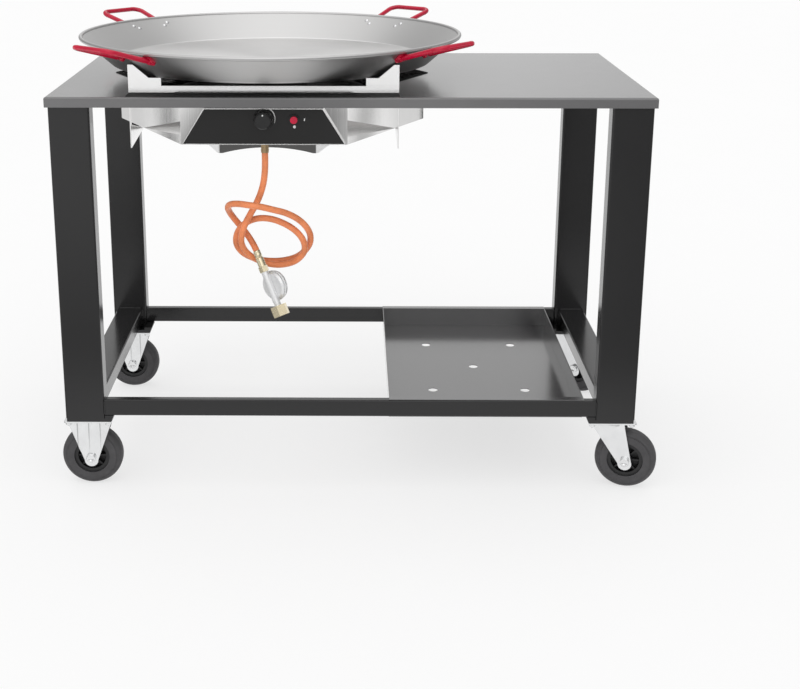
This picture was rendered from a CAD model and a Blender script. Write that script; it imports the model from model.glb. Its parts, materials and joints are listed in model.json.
import json
import math

import bmesh
import bpy
from mathutils import Matrix, Vector

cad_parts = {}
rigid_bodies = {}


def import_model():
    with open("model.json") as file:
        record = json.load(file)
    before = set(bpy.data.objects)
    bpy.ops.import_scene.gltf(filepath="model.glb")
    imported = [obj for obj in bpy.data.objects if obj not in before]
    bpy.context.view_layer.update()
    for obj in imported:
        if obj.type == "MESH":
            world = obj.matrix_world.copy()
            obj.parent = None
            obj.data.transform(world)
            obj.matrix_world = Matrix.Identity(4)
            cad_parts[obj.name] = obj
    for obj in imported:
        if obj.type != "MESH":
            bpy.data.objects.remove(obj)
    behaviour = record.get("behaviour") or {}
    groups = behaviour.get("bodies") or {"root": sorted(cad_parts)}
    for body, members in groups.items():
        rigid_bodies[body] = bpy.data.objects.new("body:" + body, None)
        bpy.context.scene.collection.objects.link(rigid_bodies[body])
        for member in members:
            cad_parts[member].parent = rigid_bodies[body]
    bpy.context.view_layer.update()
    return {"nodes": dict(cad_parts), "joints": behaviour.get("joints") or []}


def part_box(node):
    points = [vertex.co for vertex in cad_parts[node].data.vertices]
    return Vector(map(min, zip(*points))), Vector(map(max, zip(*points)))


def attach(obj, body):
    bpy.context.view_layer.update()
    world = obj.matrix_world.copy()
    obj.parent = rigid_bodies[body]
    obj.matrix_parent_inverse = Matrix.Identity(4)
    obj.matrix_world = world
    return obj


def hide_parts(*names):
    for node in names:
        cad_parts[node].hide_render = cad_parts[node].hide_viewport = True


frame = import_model()
NODES = frame["nodes"]
scene = bpy.context.scene
scene.view_settings.view_transform = "Standard"

# Places taken from the frame, in metres
JOINTS = {joint["name"]: joint for joint in frame["joints"]}
BURNER_X, _, AXIS_Z = JOINTS["knob_turn"]["pos_m"]
TOP_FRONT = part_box("table_top")[0].y
TOP_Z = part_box("table_top")[1].z
PANEL_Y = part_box("control_panel")[0].y
KNOB_FACE_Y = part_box("control_knob")[0].y
PAN_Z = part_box("pan")[0].z

# Names and sizes of the CAD model that the frame's boxes don't give; angles in degrees
CORNERS = ("front_left", "rear_left", "front_right", "rear_right")
HANDLES = {"rear_right": 50, "rear_left": 140, "front_left": 230, "front_right": 320}
BASE_R = 0.335
WALL_RUN, WALL_RISE = 0.061, 0.054
WALL_LEAN = math.atan2(WALL_RISE, WALL_RUN)
PADDLE_DROP = 0.018
PADDLE_AT = math.hypot(WALL_RUN, WALL_RISE) - PADDLE_DROP
PADDLE_SPREAD = 6.5
PLATE_T = 0.003
RING_TUBE_R = 0.012
TAIL_L, STEM_L, DOME_BACK, DOME_T, DOME_TURN = 0.030, 0.066, 0.004, 0.018, 4
UP = Vector((0, 0, 1))
DOWN = Vector((0, 0, -1))
FRONT = Vector((0, -1, 0))


# Camera, fitted to the photograph: focal length in pixels of the picture's width

FOCAL_PX, PICTURE_PX, SENSOR_MM = 1318.5, 800, 36
CAMERA_PITCH, CAMERA_YAW = 15.81, 0.52

cam_data = bpy.data.cameras.new("camera")
cam = bpy.data.objects.new("camera", cam_data)
scene.collection.objects.link(cam)
cam.location = (-0.0168, -2.7975, 1.2411)
cam.rotation_euler = (math.radians(90 - CAMERA_PITCH), 0, math.radians(CAMERA_YAW))
cam_data.sensor_width = SENSOR_MM
cam_data.lens = FOCAL_PX * SENSOR_MM / PICTURE_PX
cam_data.shift_x = 0.0763
cam_data.shift_y = -0.13
cam_data.clip_end = 100
scene.camera = cam


# Node helpers for materials

def new_material(name):
    mat = bpy.data.materials.new(name)
    mat.use_nodes = True
    tree = mat.node_tree
    return mat, tree, tree.nodes["Principled BSDF"]


def node(tree, kind, **values):
    """Adds a node. A value sets the property of its name, or else the input of its name."""
    n = tree.nodes.new(kind)
    for key, value in values.items():
        if hasattr(n, key):
            setattr(n, key, value)
        else:
            n.inputs[key.replace("_", " ")].default_value = value
    return n


def math_node(tree, operation, a, b=0.0):
    n = node(tree, "ShaderNodeMath", operation=operation)
    for socket, value in zip(n.inputs, (a, b)):
        if isinstance(value, (int, float)):
            socket.default_value = value
        else:
            tree.links.new(value, socket)
    return n.outputs[0]


def product(tree, first, *others):
    for value in others:
        first = math_node(tree, "MULTIPLY", first, value)
    return first


def axes(tree, vector):
    n = node(tree, "ShaderNodeSeparateXYZ")
    tree.links.new(vector, n.inputs[0])
    return n.outputs["X"], n.outputs["Y"], n.outputs["Z"]


def coords(tree, scale=(1, 1, 1), centre=(0, 0, 0), turn=(0, 0, 0)):
    """Object coordinates, which on every piece are metres in the shared frame."""
    tex = node(tree, "ShaderNodeTexCoord")
    mapping = node(tree, "ShaderNodeMapping", vector_type="TEXTURE")
    mapping.inputs["Location"].default_value = centre
    mapping.inputs["Rotation"].default_value = turn
    mapping.inputs["Scale"].default_value = [1 / s for s in scale]
    tree.links.new(tex.outputs["Object"], mapping.inputs["Vector"])
    return mapping.outputs["Vector"]


def noise(tree, vector, scale, detail=4, rough=0.55):
    n = node(tree, "ShaderNodeTexNoise", Scale=scale, Detail=detail, Roughness=rough)
    tree.links.new(vector, n.inputs["Vector"])
    return n.outputs["Fac"]


def span(tree, fac, low, high, from_low=0.3, from_high=0.7):
    """Maps a value from one range to another, held at both ends."""
    n = node(tree, "ShaderNodeMapRange", From_Min=from_low, From_Max=from_high, To_Min=low, To_Max=high)
    tree.links.new(fac, n.inputs["Value"])
    return n.outputs["Result"]


def band(tree, value, low, high, soft):
    """One between two values and zero outside, with soft ends."""
    rise = span(tree, value, 0, 1, low - soft, low + soft)
    fall = span(tree, value, 1, 0, high - soft, high + soft)
    return product(tree, rise, fall)


def bump(tree, bsdf, height, strength, distance):
    n = node(tree, "ShaderNodeBump", Strength=strength, Distance=distance)
    tree.links.new(height, n.inputs["Height"])
    prior = bsdf.inputs["Normal"]
    if prior.is_linked:
        tree.links.new(prior.links[0].from_socket, n.inputs["Normal"])
    tree.links.new(n.outputs["Normal"], prior)


def soft_edges(tree, bsdf, radius):
    """Rounds edges in the shading, as folded and cut sheet has them."""
    n = node(tree, "ShaderNodeBevel", Radius=radius)
    n.samples = 4
    tree.links.new(n.outputs["Normal"], bsdf.inputs["Normal"])


def shade(c, k):
    return tuple(min(1, v * k) for v in c)


def two_tone(tree, bsdf, fac, colour, low, high):
    """Runs from a darker to a lighter shade of one colour as a noise goes from 0.3 to 0.7."""
    n = node(tree, "ShaderNodeValToRGB")
    for stop, place, k in zip(n.color_ramp.elements, (0.3, 0.7), (low, high)):
        stop.position = place
        stop.color = (*shade(colour, k), 1)
    tree.links.new(fac, n.inputs["Fac"])
    tree.links.new(n.outputs["Color"], bsdf.inputs["Base Color"])


def set_rough(tree, bsdf, fac, low, high):
    tree.links.new(span(tree, fac, low, high), bsdf.inputs["Roughness"])


# Materials

def powder_coat(name, colour, rough, specular, coat):
    """Satin powder coat: fine orange peel under a faint gloss."""
    mat, tree, bsdf = new_material(name)
    v = coords(tree)
    soft_edges(tree, bsdf, 0.0007)
    two_tone(tree, bsdf, noise(tree, v, 18, 2), colour, 0.96, 1.04)
    set_rough(tree, bsdf, noise(tree, v, 25, 3), rough - 0.01, rough + 0.01)
    bsdf.inputs["Specular IOR Level"].default_value = specular
    bsdf.inputs["Coat Weight"].default_value = coat
    bsdf.inputs["Coat Roughness"].default_value = 0.16
    bump(tree, bsdf, noise(tree, v, 420, 1), 0.02, 0.0001)
    return mat


def split_tone(tree, bsdf, value, edge, colour):
    """Takes another colour where a coordinate is beyond an edge, such as past a fold."""
    blur = 0.0004
    beyond = span(tree, value, 0, 1, edge - blur, edge + blur)
    mix = node(tree, "ShaderNodeMix", data_type="RGBA")
    tree.links.new(beyond, mix.inputs["Factor"])
    tree.links.new(bsdf.inputs["Base Color"].links[0].from_socket, mix.inputs["A"])
    mix.inputs["B"].default_value = (*colour, 1)
    tree.links.new(mix.outputs["Result"], bsdf.inputs["Base Color"])
    return beyond


def brushed(name, colour, rough, turn=(0, 0, 0), streak=0.04, dark_above=None, bright_beyond=None,
            metal=1.0):
    """Brushed sheet: long fine streaks along local X and small stains. It may be dull and
    dark above a height, or brighter beyond a distance to both sides of the burner."""
    dark, dull_rough, bright = (0.012,) * 3, 0.85, (0.85,) * 3
    mat, tree, bsdf = new_material(name)
    soft_edges(tree, bsdf, 0.0006)
    grain = noise(tree, coords(tree, (3, 700, 700), turn=turn), 1, 3, 0.7)
    stain = noise(tree, coords(tree), 14, 5)
    two_tone(tree, bsdf, stain, colour, 0.97, 1.03)
    bsdf.inputs["Metallic"].default_value = metal
    set_rough(tree, bsdf, grain, rough - streak, rough + streak)
    bump(tree, bsdf, grain, 0.05, 0.0002)
    if dark_above:
        _, _, z = axes(tree, coords(tree))
        dull = split_tone(tree, bsdf, z, dark_above, dark)
        tree.links.new(span(tree, dull, metal, 0, 0, 1), bsdf.inputs["Metallic"])
        streaks = bsdf.inputs["Roughness"].links[0].from_socket
        rougher = math_node(tree, "MAXIMUM", streaks, span(tree, dull, 0, dull_rough, 0, 1))
        tree.links.new(rougher, bsdf.inputs["Roughness"])
    if bright_beyond:
        x, _, _ = axes(tree, coords(tree, centre=(BURNER_X, 0, 0)))
        split_tone(tree, bsdf, math_node(tree, "ABSOLUTE", x), bright_beyond, bright)
    return mat


def lathe_steel(name, colour, rough):
    """Spun steel: rings about the pan's axis, clouded by rolling, and a darker wall."""
    wall_z, wall_shade = 0.0035, 0.8
    mat, tree, bsdf = new_material(name)
    v = coords(tree, centre=(BURNER_X, 0, PAN_Z))
    x, y, z = axes(tree, v)
    flat = node(tree, "ShaderNodeCombineXYZ")
    tree.links.new(x, flat.inputs["X"])
    tree.links.new(y, flat.inputs["Y"])
    length = node(tree, "ShaderNodeVectorMath", operation="LENGTH")
    tree.links.new(flat.outputs[0], length.inputs[0])
    rings = node(tree, "ShaderNodeCombineXYZ")
    tree.links.new(length.outputs["Value"], rings.inputs["X"])
    tree.links.new(z, rings.inputs["Z"])
    fine = noise(tree, rings.outputs[0], 520, 3, 0.7)
    cloud = noise(tree, v, 7, 5)
    two_tone(tree, bsdf, cloud, colour, 0.96, 1.04)
    split_tone(tree, bsdf, z, wall_z, shade(colour, wall_shade))
    bsdf.inputs["Metallic"].default_value = 1
    bsdf.inputs["Anisotropic"].default_value = 0.75
    tangent = node(tree, "ShaderNodeTangent", direction_type="RADIAL", axis="Z")
    tree.links.new(tangent.outputs[0], bsdf.inputs["Tangent"])
    set_rough(tree, bsdf, fine, rough - 0.03, rough + 0.03)
    bump(tree, bsdf, fine, 0.03, 0.0002)
    bump(tree, bsdf, cloud, 0.04, 0.003)
    return mat


def plated(name, colour, rough):
    """Zinc plate: faint spangle and cloudy lustre."""
    mat, tree, bsdf = new_material(name)
    v = coords(tree)
    cells = node(tree, "ShaderNodeTexVoronoi", Scale=130)
    tree.links.new(v, cells.inputs["Vector"])
    cloud = noise(tree, v, 40, 3)
    soft_edges(tree, bsdf, 0.0008)
    two_tone(tree, bsdf, cloud, colour, 0.96, 1.04)
    bsdf.inputs["Metallic"].default_value = 1
    lustre = span(tree, cells.outputs["Distance"], rough - 0.03, rough + 0.04, 0, 1)
    tree.links.new(lustre, bsdf.inputs["Roughness"])
    bump(tree, bsdf, cloud, 0.03, 0.0004)
    return mat


def rubber(name, colour, rough, centre=None, axis_turn=0):
    """Moulded rubber. With a wheel's centre it gets fine rings round the tread."""
    rings_per_m = 900
    mat, tree, bsdf = new_material(name)
    v = coords(tree)
    two_tone(tree, bsdf, noise(tree, v, 45, 5), colour, 0.86, 1.14)
    set_rough(tree, bsdf, noise(tree, v, 160), rough - 0.08, rough + 0.08)
    bump(tree, bsdf, noise(tree, v, 1500, 2), 0.2, 0.0002)
    if centre:
        _, across, _ = axes(tree, coords(tree, centre=centre, turn=(0, 0, axis_turn)))
        wave = math_node(tree, "SINE", product(tree, across, rings_per_m))
        bump(tree, bsdf, span(tree, wave, 0, 1, 0.2, 0.9), 0.35, 0.0006)
    return mat


def plastic(name, colour, rough, grain=900):
    """Moulded plastic with a fine grain; also print and glaze."""
    mat, tree, bsdf = new_material(name)
    v = coords(tree)
    two_tone(tree, bsdf, noise(tree, v, 80), colour, 0.85, 1.15)
    set_rough(tree, bsdf, noise(tree, v, 220), rough - 0.06, rough + 0.06)
    bump(tree, bsdf, noise(tree, v, grain, 2), 0.15, 0.0002)
    return mat


def enamel(name, colour):
    """Thick gloss paint over bent rod."""
    mat, tree, bsdf = new_material(name)
    v = coords(tree)
    two_tone(tree, bsdf, noise(tree, v, 30, 5), colour, 0.88, 1.1)
    set_rough(tree, bsdf, noise(tree, v, 70), 0.08, 0.14)
    bsdf.inputs["Specular IOR Level"].default_value = 0.5
    bump(tree, bsdf, noise(tree, v, 160, 3), 0.08, 0.0005)
    return mat


def cast(name, colour, rough, grain, metal=1.0, skin=0.25):
    """Die-cast or cast metal with a fine sandy skin."""
    mat, tree, bsdf = new_material(name)
    v = coords(tree)
    two_tone(tree, bsdf, noise(tree, v, 50, 6), colour, 1 - skin / 2, 1 + skin / 2)
    bsdf.inputs["Metallic"].default_value = metal
    set_rough(tree, bsdf, noise(tree, v, 300), rough - 0.08, rough + 0.1)
    bump(tree, bsdf, noise(tree, v, grain, 3), skin, 0.0004)
    return mat


FRAME = powder_coat("frame_black", (0.011, 0.0107, 0.0112), 0.2, 0.34, 0.3)
TOP = powder_coat("top_black", (0.1, 0.098, 0.1005), 0.2, 1.0, 0.65)
TRAY = powder_coat("tray_black", (0.055, 0.0535, 0.0555), 0.2, 1.0, 1.0)
PANEL = powder_coat("panel_black", (0.013, 0.0127, 0.0127), 0.3, 0.3, 0.1)
STEEL = brushed("stainless", (0.97, 0.965, 0.96), 0.15)
SUPPORT = brushed("stainless_support", (0.98, 0.975, 0.97), 0.22, metal=0.9)
STEEL_Y = brushed("stainless_side", (0.86, 0.855, 0.85), 0.18, turn=(0, 0, math.pi / 2))
HOUSING = brushed("stainless_housing", (0.79, 0.785, 0.78), 0.055, turn=(0, math.pi / 2, 0), streak=0.02,
                  dark_above=TOP_Z - 0.0002)
SHIELD = brushed("stainless_shield", (0.13, 0.128, 0.126), 0.3, bright_beyond=0.098)
PAN = lathe_steel("pan_steel", (0.72, 0.715, 0.71), 0.33)
ZINC = plated("zinc", (0.8, 0.805, 0.81), 0.17)
HUB = plastic("hub_plastic", (0.012, 0.012, 0.013), 0.5)
KNOB = plastic("knob_black", (0.008, 0.008, 0.0085), 0.34)
BUTTON = plastic("red_plastic", (0.55, 0.008, 0.045), 0.2)
BRASS = cast("brass", (0.84, 0.74, 0.52), 0.22, 700, 1.0, 0.06)
DULL_BRASS = cast("brass_ferrule", (0.42, 0.31, 0.18), 0.4, 500)
COPPER = cast("copper_pipe", (0.36, 0.24, 0.17), 0.4, 500)
CERAMIC = plastic("ceramic", (0.82, 0.8, 0.75), 0.25, 400)
IRON = cast("burner_black", (0.025, 0.024, 0.023), 0.6, 600, 0.4)
RED = enamel("red_enamel", (0.54, 0.005, 0.038))
HOSE = rubber("hose_rubber", (0.86, 0.27, 0.105), 0.36)
ALLOY = cast("regulator_alu", (0.86, 0.865, 0.87), 0.4, 900, 0.6, 0.06)
WHITE = plastic("white_print", (0.86, 0.86, 0.85), 0.5)
SEAL = rubber("seal_black", (0.012, 0.012, 0.0122), 0.85)

PAINT = {
    TOP: ["table_top"],
    FRAME: ["rail_front", "rail_rear", "rail_left", "rail_right", "corner_gussets", "caster_pads",
            *("leg_" + c for c in CORNERS)],
    TRAY: ["bottle_tray"],
    STEEL: ["control_box", "burner_bracket", "thermocouple"],
    SUPPORT: ["pan_support"],
    STEEL_Y: ["corner_feet"],
    HOUSING: ["burner_housing"],
    SHIELD: ["lower_shield"],
    PAN: ["pan"],
    ZINC: ["swivel_plate_front", "swivel_plate_rear", "valve_spindle",
           *("fork_" + c for c in CORNERS), *("axle_" + c for c in CORNERS)],
    HUB: ["hub_" + c for c in CORNERS],
    PANEL: ["control_panel"],
    KNOB: ["control_knob", "igniter", "igniter_collar"],
    BUTTON: ["piezo_button"],
    BRASS: ["gas_valve", "regulator_tail", "union_nut"],
    DULL_BRASS: ["hose_ferrule"],
    COPPER: ["feed_pipe"],
    CERAMIC: ["spark_electrode"],
    IRON: ["ring_burner"],
    RED: ["handle_" + h for h in HANDLES],
    ALLOY: ["regulator"],
}


def paint(obj, mat):
    if obj.material_slots:
        for s in obj.material_slots:
            s.material = mat
    else:
        obj.data.materials.append(mat)


for mat, names in PAINT.items():
    for name in names:
        paint(NODES[name], mat)

# Each tyre's rings follow its own axle
for corner in CORNERS:
    wheel = JOINTS[f"wheel_{corner}_roll"]
    axis_x, axis_y, _ = wheel["axis"]
    tyre = rubber("tyre_" + corner, (0.062, 0.06, 0.063), 0.62, wheel["pos_m"], math.atan2(-axis_x, axis_y))
    paint(NODES["tyre_" + corner], tyre)


# Gas hose: its route in millimetres from where it leaves the ferrule

HOSE_D = 0.013
ferrule_low, ferrule_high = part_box("hose_ferrule")
HOSE_TOP = Vector((BURNER_X, (ferrule_low.y + ferrule_high.y) / 2, ferrule_low.z))
HOSE_ROUTE = [
    (0, 0, 0), (0, 0, -20), (-1, 0, -41), (-4, 0, -62), (-10, 0, -83),
    (-19, 0, -104), (-30, 1, -124), (-41, 4, -145), (-49, 11, -167), (-52, 21, -189),
    (-46, 33, -210), (-32, 45, -228), (-12, 54, -241), (12, 58, -248), (36, 56, -246),
    (57, 48, -236), (72, 37, -218), (76, 24, -198), (70, 13, -177), (54, 7, -158),
    (32, 7, -145), (9, 10, -138), (-14, 15, -138), (-36, 22, -146), (-53, 30, -161),
    (-63, 40, -181), (-64, 52, -203), (-54, 64, -223), (-36, 74, -237), (-13, 80, -245),
    (12, 81, -247), (37, 77, -243), (59, 68, -233), (76, 55, -216), (86, 40, -196),
    (87, 24, -174), (79, 9, -153), (63, -4, -134), (41, -17, -119), (17, -26, -110),
    (-8, -30, -103), (-32, -28, -100), (-53, -18, -100), (-69, -2, -105), (-77, 18, -116),
    (-75, 37, -132), (-65, 49, -151), (-50, 52, -171), (-36, 47, -190), (-25, 40, -208),
    (-17, 34, -227),
]
route = [HOSE_TOP + Vector(p) / 1000 for p in HOSE_ROUTE]


def smooth_path(points, steps):
    """Catmull-Rom curve through the points."""
    ext = [2 * points[0] - points[1], *points, 2 * points[-1] - points[-2]]
    out = []
    for p0, p1, p2, p3 in zip(ext, ext[1:], ext[2:], ext[3:]):
        for k in range(steps):
            t = k / steps
            out.append((2 * p1 + (p2 - p0) * t + (2 * p0 - 5 * p1 + 4 * p2 - p3) * t * t
                        + (3 * p1 - p0 - 3 * p2 + p3) * t ** 3) / 2)
    return out + [points[-1]]


hose_path = smooth_path(route, 6)
curve = bpy.data.curves.new("hose", "CURVE")
curve.dimensions = "3D"
curve.bevel_depth = HOSE_D / 2
curve.bevel_resolution = 7
curve.use_fill_caps = True
line = curve.splines.new("POLY")
line.points.add(len(hose_path) - 1)
for pt, co in zip(line.points, hose_path):
    pt.co = (*co, 1)
line.use_smooth = True
hose = bpy.data.objects.new("hose", curve)
scene.collection.objects.link(hose)
paint(hose, HOSE)
hose.visible_glossy = False  # the pan's steel would mirror it as an orange stain
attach(hose, "trolley")
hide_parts("gas_hose")


# Mesh helpers: each piece is one mesh of turned, hexagonal, swept or flat forms

def around(r, k, n, start=0.0):
    """The k-th of n places on a circle, from a start angle in radians."""
    a = start + 2 * math.pi * k / n
    return r * math.cos(a), r * math.sin(a)


class Mesh:
    def __init__(self):
        self.verts, self.faces, self.smooth = [], [], []

    def add(self, verts, faces, matrix, smooth):
        base = len(self.verts)
        self.verts += [matrix @ Vector(v) for v in verts]
        self.faces += [[base + i for i in f] for f in faces]
        self.smooth += [smooth] * len(faces)

    def turned(self, profile, matrix, n=24):
        """Revolves (radius, height) points about local Z; a zero radius closes an end."""
        verts, rings = [], []
        for r, z in profile:
            if r == 0:
                rings.append([len(verts)])
                verts.append((0, 0, z))
            else:
                rings.append(list(range(len(verts), len(verts) + n)))
                verts += [(*around(r, k, n), z) for k in range(n)]
        faces = []
        for a, b in zip(rings, rings[1:]):
            for k in range(n):
                j = (k + 1) % n
                quad = [a[k % len(a)], a[j % len(a)], b[j % len(b)], b[k % len(b)]]
                faces.append([v for i, v in enumerate(quad) if v not in quad[:i]])
        self.add(verts, faces, matrix, True)

    def hexagon(self, flats, height, matrix):
        """A nut or bolt head with a turned chamfer on its outer face."""
        chamfer, top_share = 0.12, 0.93
        corner_r = flats / math.sqrt(3)
        top_r = flats / 2 * top_share
        rows = ((corner_r, 0), (corner_r, height * (1 - chamfer)), (top_r, height))
        verts = [(*around(r, k, 6), z) for r, z in rows for k in range(6)]
        faces = [[i * 6 + k, i * 6 + (k + 1) % 6, (i + 1) * 6 + (k + 1) % 6, (i + 1) * 6 + k]
                 for i in range(2) for k in range(6)]
        faces += [[5, 4, 3, 2, 1, 0], [12, 13, 14, 15, 16, 17]]
        self.add(verts, faces, matrix, False)

    def swept(self, path, radii, n):
        """A tube along points, with a radius at each."""
        verts = []
        for i, p in enumerate(path):
            d = (path[min(i + 1, len(path) - 1)] - path[max(i - 1, 0)]).normalized()
            side = d.cross(UP if abs(d.dot(UP)) < 0.95 else Vector((1, 0, 0))).normalized()
            other = d.cross(side)
            for a, b in (around(radii[i], k, n) for k in range(n)):
                verts.append(p + a * side + b * other)
        last = (len(path) - 1) * n
        faces = [[i * n + k, i * n + (k + 1) % n, (i + 1) * n + (k + 1) % n, (i + 1) * n + k]
                 for i in range(len(path) - 1) for k in range(n)]
        faces += [list(range(n))[::-1], [last + k for k in range(n)]]
        self.add(verts, faces, Matrix(), True)

    def strip(self, outline, matrix, depth):
        """A thin plate with the given outline, from z = 0 to depth."""
        n = len(outline)
        verts = [(x, y, 0) for x, y in outline] + [(x, y, depth) for x, y in outline]
        faces = [list(range(n))[::-1], list(range(n, 2 * n))]
        faces += [[k, (k + 1) % n, n + (k + 1) % n, n + k] for k in range(n)]
        self.add(verts, faces, matrix, False)

    def finish(self, name, mat, body, slot):
        data = bpy.data.meshes.new(name)
        data.from_pydata(self.verts, [], self.faces)
        bm = bmesh.new()
        bm.from_mesh(data)
        bmesh.ops.recalc_face_normals(bm, faces=bm.faces)
        bm.to_mesh(data)
        bm.free()
        for poly, s in zip(data.polygons, self.smooth):
            poly.use_smooth = s
        obj = bpy.data.objects.new(name, data)
        scene.collection.objects.link(obj)
        paint(obj, mat)
        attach(obj, body)
        return obj


def basis(place, z_axis):
    """Matrix of a place with its local Z along an axis."""
    z = z_axis.normalized()
    x_hint = Vector((0, 1, 0) if abs(z.x) > 0.95 else (1, 0, 0))
    y = z.cross(x_hint).normalized()
    x = y.cross(z)
    m = Matrix((x, y, z)).transposed().to_4x4()
    m.translation = place
    return m


def dome(r, h):
    """Profile of a rivet's head, sunk a little into what it sits on."""
    return [(r, -0.0004), (r, h * 0.15), (r * 0.92, h * 0.5), (r * 0.7, h * 0.82),
            (r * 0.36, h * 0.97), (0, h)]


# Pan rivets: bright heads inside the wall, painted heads on the handles' ends

# Each rivet's place along the wall and across it, from the middle of the handle's paddle
RIVETS = ((0.0015, 0.007), (-0.007, -0.0045))
RIVET_IN, RIVET_OUT = dome(0.0044, 0.002), dome(0.0038, 0.0022)
WALL_INSIDE, PADDLE_OUTSIDE = 0.002, 0.0043
for name, angle in HANDLES.items():
    inside, outside = Mesh(), Mesh()
    for side in (-1, 1):
        a = math.radians(angle + side * PADDLE_SPREAD)
        radial = Vector((math.cos(a), math.sin(a), 0))
        tangent = Vector((-math.sin(a), math.cos(a), 0)) * side
        slope = radial * math.cos(WALL_LEAN) + UP * math.sin(WALL_LEAN)
        inward = UP * math.cos(WALL_LEAN) - radial * math.sin(WALL_LEAN)
        paddle = Vector((BURNER_X, 0, PAN_Z)) + radial * BASE_R + slope * PADDLE_AT
        for along, across in RIVETS:
            spot = paddle + slope * along + tangent * across
            inside.turned(RIVET_IN, basis(spot + inward * WALL_INSIDE, inward))
            outside.turned(RIVET_OUT, basis(spot - inward * PADDLE_OUTSIDE, -inward))
    inside.finish("rivets_in_" + name, ZINC, "pan_body", "zinc")
    outside.finish("rivets_out_" + name, RED, "pan_body", "red_enamel")


# Caster hardware: plate bolts and axle ends

BOLT_X, BOLT_Y = 0.0405, 0.034
BOLT_FLATS, BOLT_H = 0.011, 0.0052
WASHER_T = 0.0012
WASHER = [(0, -0.0003), (0.0075, -0.0003), (0.0075, WASHER_T), (0, WASHER_T)]
BOLT_END = [(0.0031, 0.005), (0.0031, 0.0078), (0.0024, 0.0086), (0, 0.0086)]
AXLE_HALF = 0.0295
NUT_FLATS, NUT_H = 0.016, 0.006
AXLE_HEAD = [(0.0092, -0.0004), (0.0092, 0.0006), (0.0083, 0.0013), (0.0058, 0.0014), (0.0054, 0.0008),
             (0, 0.0009)]
AXLE_END = [(0.0046, 0.0058), (0.0046, 0.0082), (0.0038, 0.009), (0, 0.009)]
PLATES = ("fork_front_left", "fork_rear_left", "swivel_plate_front", "swivel_plate_rear")
for corner, plate in zip(CORNERS, PLATES):
    low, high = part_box(plate)
    under = Vector(((low.x + high.x) / 2, (low.y + high.y) / 2, high.z - PLATE_T))
    bolts = Mesh()
    for dx in (-BOLT_X, BOLT_X):
        for dy in (-BOLT_Y, BOLT_Y):
            spot = under + Vector((dx, dy, 0))
            bolts.turned(WASHER, basis(spot, DOWN))
            bolts.hexagon(BOLT_FLATS, BOLT_H, basis(spot + DOWN * WASHER_T, DOWN))
            bolts.turned(BOLT_END, basis(spot, DOWN), 16)
    bolts.finish("plate_bolts_" + corner, ZINC, "trolley", "zinc")
    wheel = JOINTS[f"wheel_{corner}_roll"]
    centre, axis = Vector(wheel["pos_m"]), Vector(wheel["axis"])
    nut = basis(centre + axis * AXLE_HALF, axis)
    ends = Mesh()
    ends.turned(AXLE_HEAD, basis(centre - axis * AXLE_HALF, -axis), 32)
    ends.hexagon(NUT_FLATS, NUT_H, nut)
    ends.turned(AXLE_END, nut, 16)
    ends.finish("axle_ends_" + corner, ZINC, wheel["parent"], "zinc")


# Control panel: dial arc, tick, screw and the knob's pointer

def on_panel(x, z):
    """Matrix of a spot on the panel: local X to the right, local Y up, local Z to the front."""
    m = Matrix(((1, 0, 0), (0, 0, -1), (0, 1, 0))).to_4x4()
    m.translation = Vector((BURNER_X + x, PANEL_Y, AXIS_Z + z))
    return m


PRINT_T = 0.00012
DIAL_R, DIAL_WIDE, DIAL_THIN = 0.0222, 0.0021, 0.0004
DIAL_FROM, DIAL_SWEEP, DIAL_STEPS = 58, 78, 24
TICK = [(-0.0009, -0.0024), (0.0009, -0.0024), (0.0014, 0.0024), (-0.0004, 0.0024)]
TICK_AT, SCREW_AT = (0.079, -0.001), (0.06, -0.0145)
marks = Mesh()
arc_in, arc_out = [], []
for k in range(DIAL_STEPS + 1):
    share = k / DIAL_STEPS
    a = math.radians(DIAL_FROM - DIAL_SWEEP * share)
    outer = DIAL_R + DIAL_WIDE * (1 - share) + DIAL_THIN
    arc_in.append((DIAL_R * math.cos(a), DIAL_R * math.sin(a)))
    arc_out.append((outer * math.cos(a), outer * math.sin(a)))
marks.strip(arc_out + arc_in[::-1], on_panel(0, 0), PRINT_T)
marks.strip(TICK, on_panel(*TICK_AT), PRINT_T)
marks.finish("panel_marks", WHITE, "trolley", "panel_black")

SCREW = [(0.0034, -0.0002), (0.0034, 0.0008), (0.0027, 0.0017), (0.0014, 0.002), (0.0013, 0.0012),
         (0, 0.001)]
screw = Mesh()
screw.turned(SCREW, on_panel(*SCREW_AT), 28)
screw.finish("panel_screw", ZINC, "trolley", "zinc")

POINTER = [(0.0015, -0.0008), (0.0015, 0.00005), (0.0012, 0.00012), (0, 0.00014)]
POINTER_UP = 0.0115
pointer = Mesh()
pointer.turned(POINTER, basis(Vector((BURNER_X, KNOB_FACE_Y, AXIS_Z + POINTER_UP)), FRONT), 24)
pointer.finish("knob_pointer", WHITE, "knob", "knob_black")


# Burner ports: two rows of drilled nipples on each ring

# Each ring's radius and the ports in one of its rows
RING_PORTS = ((0.2, 84), (0.1, 42))
PORT_LEAN = 28
PORT = [(0.0022, -0.0003), (0.0019, 0.0006), (0.0012, 0.0006), (0.001, -0.0001), (0, -0.0001)]
ports = Mesh()
for ring_r, count in RING_PORTS:
    for row in (-1, 1):
        lean = math.radians(row * PORT_LEAN)
        for k in range(count):
            out = Vector((*around(1, k + (row > 0) / 2, count), 0))
            normal = out * math.sin(lean) + UP * math.cos(lean)
            spot = Vector((BURNER_X, 0, AXIS_Z)) + out * ring_r + normal * RING_TUBE_R
            ports.turned(PORT, basis(spot, normal), 10)
ports.finish("burner_ports", IRON, "trolley", "burner_black")


# Seal strip on the worktop in front of the pan support, with rounded front corners

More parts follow.
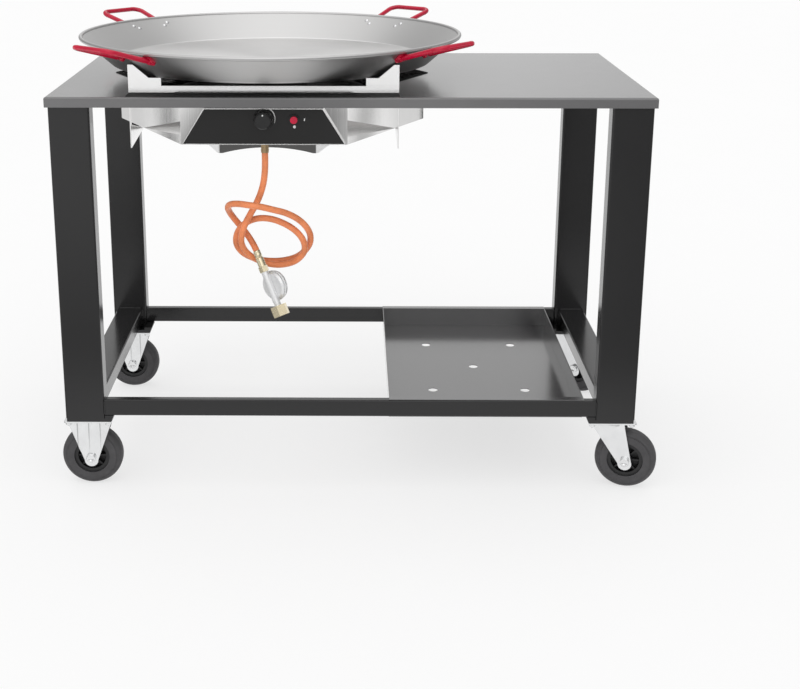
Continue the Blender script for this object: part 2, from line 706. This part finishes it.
SEAL_T, SEAL_CORNER_R, CORNER_STEPS = 0.0007, 0.006, 6
SEAL_SETBACK, SEAL_UNDER = 0.0035, 0.001
support_low, support_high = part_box("pan_support")
seal_left, seal_right = support_low.x, support_high.x
seal_front, seal_back = TOP_FRONT + SEAL_SETBACK, support_low.y + SEAL_UNDER
outline = [(seal_right, seal_back), (seal_left, seal_back)]
for cx, start in ((seal_left + SEAL_CORNER_R, 180), (seal_right - SEAL_CORNER_R, 270)):
    for k in range(CORNER_STEPS + 1):
        dx, dy = around(SEAL_CORNER_R, k, 4 * CORNER_STEPS, math.radians(start))
        outline.append((cx + dx, seal_front + SEAL_CORNER_R + dy))
seal = Mesh()
seal.strip(outline, Matrix.Translation((0, 0, TOP_Z)), SEAL_T)
support_seal = seal.finish("support_seal", SEAL, "trolley", "panel_black")
support_seal.visible_glossy = False  # the support's steel would mirror it as a dark edge


# Weld beads where rails meet legs

BEAD_R, BEAD_STEP, BEAD_SIDES = 0.0016, 0.0022, 8
RIPPLE, RIPPLE_TURN = 0.18, 1.05
BEAD_LIFT, BEAD_INSET = 0.004, 0.003
beads = Mesh()


def bead(a, b):
    """A rippled weld between two points."""
    steps = max(6, int((b - a).length / BEAD_STEP))
    path = [a.lerp(b, k / steps) for k in range(steps + 1)]
    radii = [BEAD_R * (1 - RIPPLE + RIPPLE * abs(math.sin(k * RIPPLE_TURN))) for k in range(steps + 1)]
    beads.swept(path, radii, BEAD_SIDES)


def rail_beads(rail, along, across):
    """Welds at both ends of a rail that runs along one axis: up its sides and over its top."""
    low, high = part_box(rail)

    def spot(end, side, z):
        point = Vector((0, 0, z))
        point[along], point[across] = end, side
        return point

    for end in (low[along], high[along]):
        for side in (low[across], high[across]):
            bead(spot(end, side, low.z + BEAD_LIFT), spot(end, side, high.z - BEAD_INSET))
        bead(spot(end, low[across] + BEAD_INSET, high.z), spot(end, high[across] - BEAD_INSET, high.z))


for rail in ("rail_front", "rail_rear"):
    rail_beads(rail, 0, 1)
for rail in ("rail_left", "rail_right"):
    rail_beads(rail, 1, 0)
beads.finish("weld_beads", FRAME, "trolley", "frame_black")


# Regulator trim and the hose clamp, along the hose's last run

CLAMP_BACK = 0.014
COVER = [(0.0185, -0.0005), (0.0185, 0.0008), (0.0165, 0.0014), (0.0145, 0.0006), (0.0095, 0.0006),
         (0.0092, 0.0036), (0.0078, 0.0046), (0.003, 0.005), (0, 0.005)]
COVER_SCREW = dome(0.0022, 0.0016)
COVER_SCREWS, COVER_SCREW_R, COVER_SCREW_FROM = 6, 0.0205, 0.3
WAIST = [(0.0299, 0.0072), (0.0312, 0.0076), (0.0314, 0.0086), (0.0312, 0.0096), (0.0299, 0.01)]
CLAMP = [(0.0064, -0.0022), (0.0072, -0.0018), (0.0076, 0), (0.0072, 0.0016), (0.0072, 0.0052),
         (0.0076, 0.0066), (0.0072, 0.0082), (0.0072, 0.0132), (0.0064, 0.0136)]

tip = route[-1]
run_dir = (route[-1] - route[-2]).normalized()
spin = math.atan2(run_dir.y, run_dir.x)
lean = math.acos(-run_dir.z)
body = (Matrix.Translation(tip) @ Matrix.Rotation(spin, 4, "Z") @ Matrix.Rotation(math.pi - lean, 4, "Y")
        @ Matrix.Translation((0, 0, TAIL_L)) @ Matrix.Rotation(math.radians(DOME_TURN), 4, "Z"))


def on_regulator(out):
    """Matrix of a place on the axis of the regulator's dome, with local Z towards its cover."""
    return body @ Matrix.Translation((0, out, STEM_L / 2)) @ Matrix.Rotation(-math.pi / 2, 4, "X")


face = on_regulator(DOME_BACK + DOME_T)
trim = Mesh()
trim.turned(COVER, face, 40)
for k in range(COVER_SCREWS):
    spot = (*around(COVER_SCREW_R, k, COVER_SCREWS, COVER_SCREW_FROM), 0)
    trim.turned(COVER_SCREW, face @ Matrix.Translation(spot), 14)
trim.turned(WAIST, on_regulator(DOME_BACK), 64)
regulator_trim = trim.finish("regulator_trim", ALLOY, "trolley", "regulator_alu")

clamp = Mesh()
clamp.turned(CLAMP, basis(tip - run_dir * CLAMP_BACK, run_dir), 32)
hose_clamp = clamp.finish("hose_clamp", BRASS, "trolley", "brass")


# Floor, and what mirrored rays find on it

FLOOR_CORNERS = [(-30, -30, 0), (30, -30, 0), (30, 40, 0), (-30, 40, 0)]
SEEN_GLOW, MIRRORED_GLOW = 0.66, 0.8
# Dim zones: a band has its ends and softness, a slope two values and where each is reached
PATCH_X, PATCH_Y, PATCH_DEPTH = (-0.86, 0, 0.1), (-5.0, -2.9, 0.15), 0.9
RIGHT_SLOPE_X, RIGHT_Y = (0, 0.7, 0.5, 1.1), (-9, -0.7, 0.3)
NEAR_SLOPE_Y, NEAR_END_Y = (0, 0.5, -2.6, -1.3), (1, 0, -1.1, -0.75)
BESIDE_X, BESIDE_Y, BESIDE_DEPTH = (0.75, 1.5, 0.06), (-0.75, 0.9, 0.1), 0.6
STRIPE_SOFT = 0.008
# Each flag: the direction across its stripes, its bands in x and y, and the stripes' ends and depth
FLAGS = (
    ((0.625, 0.78), (-4.7, -2.6, 0.2), (1.4, 3.6, 0.2),
     ((-0.502, -0.438, 1.0), (-0.438, -0.4, 0.45), (-0.36, -0.1, 0.3))),
    ((-0.52, 0.854), (2.6, 4.7, 0.2), (1.2, 3.2, 0.2),
     ((-0.29, -0.2, 0.65), (-0.1, 0.2, 0.25))),
)


def larger(tree, a, b):
    return math_node(tree, "MAXIMUM", a, b)


def one_minus(tree, value):
    return math_node(tree, "SUBTRACT", 1, value)


def mix_shaders(tree, share, first, second):
    n = node(tree, "ShaderNodeMixShader")
    for output, socket in zip((share, first, second), n.inputs):
        tree.links.new(output, socket)
    return n.outputs[0]


def mirrored_floor(tree):
    """Brightness of the floor to mirrored rays. It is white with dim zones: a patch far in front,
    a slope to the right, one close in front, strips beside the part, and striped flags behind to
    both sides, which the housing's slanted walls show."""
    x, y, _ = axes(tree, coords(tree))
    patch = product(tree, band(tree, x, *PATCH_X), band(tree, y, *PATCH_Y), PATCH_DEPTH)
    right = product(tree, span(tree, x, *RIGHT_SLOPE_X), band(tree, y, *RIGHT_Y))
    near = product(tree, span(tree, y, *NEAR_SLOPE_Y), span(tree, y, *NEAR_END_Y))
    aside = math_node(tree, "ABSOLUTE", x)
    beside = product(tree, band(tree, aside, *BESIDE_X), band(tree, y, *BESIDE_Y), BESIDE_DEPTH)
    far_light = one_minus(tree, larger(tree, patch, right))
    near_light = one_minus(tree, larger(tree, near, beside))
    bright = product(tree, far_light, near_light)
    for (across_x, across_y), flag_x, flag_y, stripes in FLAGS:
        across = math_node(tree, "ADD", product(tree, x, across_x), product(tree, y, across_y))
        shadow = 0
        for low, high, depth in stripes:
            stripe = product(tree, band(tree, across, low, high, STRIPE_SOFT), depth)
            shadow = larger(tree, stripe, shadow)
        place = product(tree, band(tree, x, *flag_x), band(tree, y, *flag_y))
        bright = product(tree, bright, one_minus(tree, product(tree, shadow, place)))
    return bright


floor_data = bpy.data.meshes.new("floor")
floor_data.from_pydata(FLOOR_CORNERS, [], [(0, 1, 2, 3)])
floor = bpy.data.objects.new("floor", floor_data)
scene.collection.objects.link(floor)
floor_mat, tree, bsdf = new_material("floor_white")
two_tone(tree, bsdf, noise(tree, coords(tree), 3), (0.94, 0.94, 0.94), 0.995, 1.005)
bsdf.inputs["Roughness"].default_value = 0.9
bsdf.inputs["Specular IOR Level"].default_value = 0.1
rays = node(tree, "ShaderNodeLightPath").outputs
glow = node(tree, "ShaderNodeEmission", Strength=1.0)
mirror_glow = node(tree, "ShaderNodeEmission")
tree.links.new(mirrored_floor(tree), mirror_glow.inputs["Strength"])
seen_share = product(tree, rays["Is Camera Ray"], SEEN_GLOW)
seen = mix_shaders(tree, seen_share, bsdf.outputs[0], glow.outputs[0])
bounced = larger(tree, rays["Is Glossy Ray"], rays["Is Transmission Ray"])
look = mix_shaders(tree, product(tree, bounced, MIRRORED_GLOW), seen, mirror_glow.outputs[0])
tree.links.new(look, tree.nodes["Material Output"].inputs["Surface"])
paint(floor, floor_mat)


# Studio light and background

AMBIENT = 0.68
WALL_SLOPE_Z, SIDE_SLOPE_X = (0.74, 0.9, 0.05, 0.5), (1, 0.45, 0.12, 0.6)
SUN_STRENGTH, SUN_SPREAD, SUN_TILT = 1.15, 110, (24, -10, 0)

world = bpy.data.worlds.new("studio")
scene.world = world
world.use_nodes = True
sky = world.node_tree
sky.nodes.clear()
rays = node(sky, "ShaderNodeLightPath").outputs
bounced = larger(sky, rays["Is Glossy Ray"], rays["Is Transmission Ray"])
direct = larger(sky, rays["Is Camera Ray"], bounced)
soft = node(sky, "ShaderNodeBackground", Color=(1, 1, 1, 1), Strength=AMBIENT)
white = node(sky, "ShaderNodeBackground", Color=(1, 1, 1, 1))
# White to the eye; in mirrored rays the walls are below the ceiling and fall off to both sides
x, _, z = axes(sky, node(sky, "ShaderNodeTexCoord").outputs["Generated"])
sides = span(sky, math_node(sky, "ABSOLUTE", x), *SIDE_SLOPE_X)
walls = product(sky, span(sky, z, *WALL_SLOPE_Z), sides)
sky.links.new(larger(sky, walls, rays["Is Camera Ray"]), white.inputs["Strength"])
surface = node(sky, "ShaderNodeOutputWorld").inputs["Surface"]
sky.links.new(mix_shaders(sky, direct, soft.outputs[0], white.outputs[0]), surface)

sun_data = bpy.data.lights.new("key", "SUN")
sun_data.energy = SUN_STRENGTH
sun_data.angle = math.radians(SUN_SPREAD)
sun = bpy.data.objects.new("key", sun_data)
sun.rotation_euler = [math.radians(a) for a in SUN_TILT]
scene.collection.objects.link(sun)
